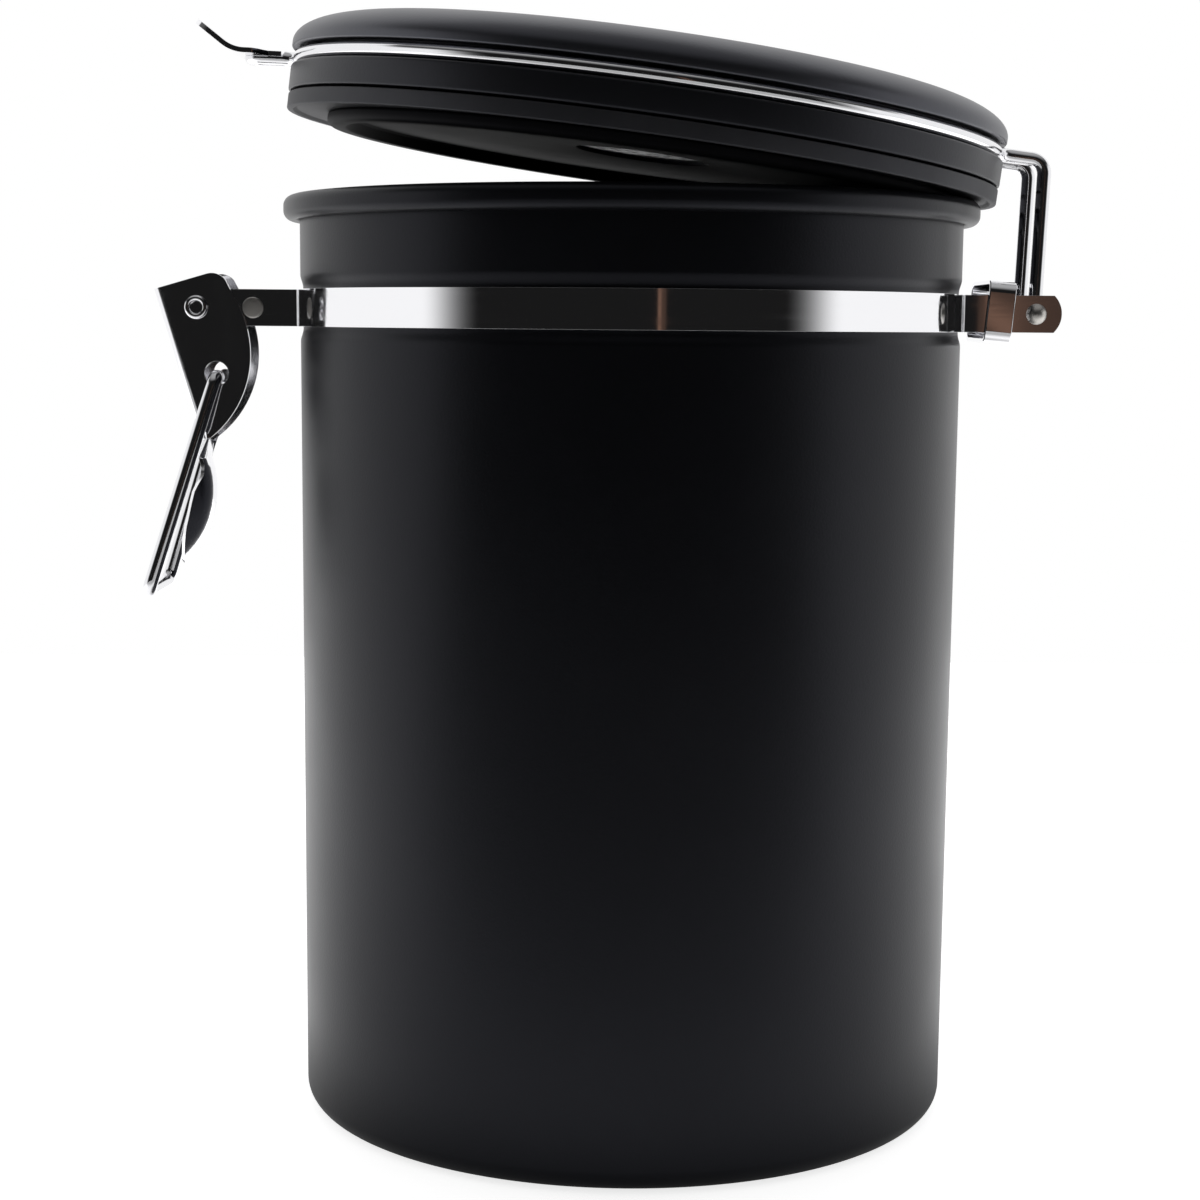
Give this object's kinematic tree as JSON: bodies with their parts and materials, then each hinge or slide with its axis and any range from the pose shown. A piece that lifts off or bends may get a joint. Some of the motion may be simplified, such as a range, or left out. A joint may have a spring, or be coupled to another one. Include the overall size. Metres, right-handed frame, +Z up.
{
  "type": "coffee canister with valve",
  "caption": "Round steel coffee canister with a hinged clamp lid, toggle latch with wire loop, lid gasket and one-way degassing valve.",
  "frame": {"origin": "centre of the base, on the plane the canister stands on", "axes": "+Z up along the can's axis, +X towards the lid hinge, -X towards the toggle latch, -Y towards the plain front"},
  "size_m": [0.1659, 0.1292, 0.198],
  "materials": {
    "coated_steel": "satin black coating",
    "bright_steel": "polished",
    "wire_steel": "polished wire",
    "rivet_steel": "satin",
    "black_plastic": "satin black",
    "plug_plastic": "matte black",
    "black_rubber": "matte",
    "silicone": "translucent grey, matte",
    "filter_steel": "perforated sheet"
  },
  "bodies": {
    "can": {"can_body": "coated_steel", "band_front": "bright_steel", "band_rear": "bright_steel", "hinge_sleeve": "bright_steel", "hinge_rivet": "rivet_steel", "latch_rivet": "rivet_steel", "latch_spacer": "rivet_steel", "lever_eyelet": "bright_steel"},
    "lid": {"lid_cap": "black_plastic", "lid_base": "black_plastic", "lid_plug": "plug_plastic", "lid_gasket": "black_rubber", "lid_wire": "wire_steel", "hook_plate": "bright_steel", "valve_housing": "plug_plastic", "valve_cap": "black_plastic", "filter_disc": "filter_steel"},
    "valve": {"valve_disc": "silicone"},
    "lever": {"latch_lever": "bright_steel"},
    "loop": {"wire_loop": "wire_steel"}
  },
  "joints": [
    {"name": "lid_hinge", "type": "hinge", "parent": "can", "child": "lid", "pos_m": [0.0726, 0, 0.1472], "axis": [0, 1, 0], "range_deg": [-7.2, 200], "deforming": ["lid_gasket"]},
    {"name": "valve_lift", "type": "slide", "parent": "lid", "child": "valve", "axis": [0.1253, 0, 0.9921], "range_m": [0, 0.001], "stiffness_N_per_m": 60},
    {"name": "latch_lever_hinge", "type": "hinge", "parent": "can", "child": "lever", "pos_m": [-0.0786, 0, 0.1472], "axis": [0, 1, 0], "range_deg": [0, 100]},
    {"name": "loop_swing", "type": "hinge", "parent": "lever", "child": "loop", "pos_m": [-0.0751, 0, 0.1347], "axis": [0, 1, 0], "range_deg": [-34, 70]}
  ]
}
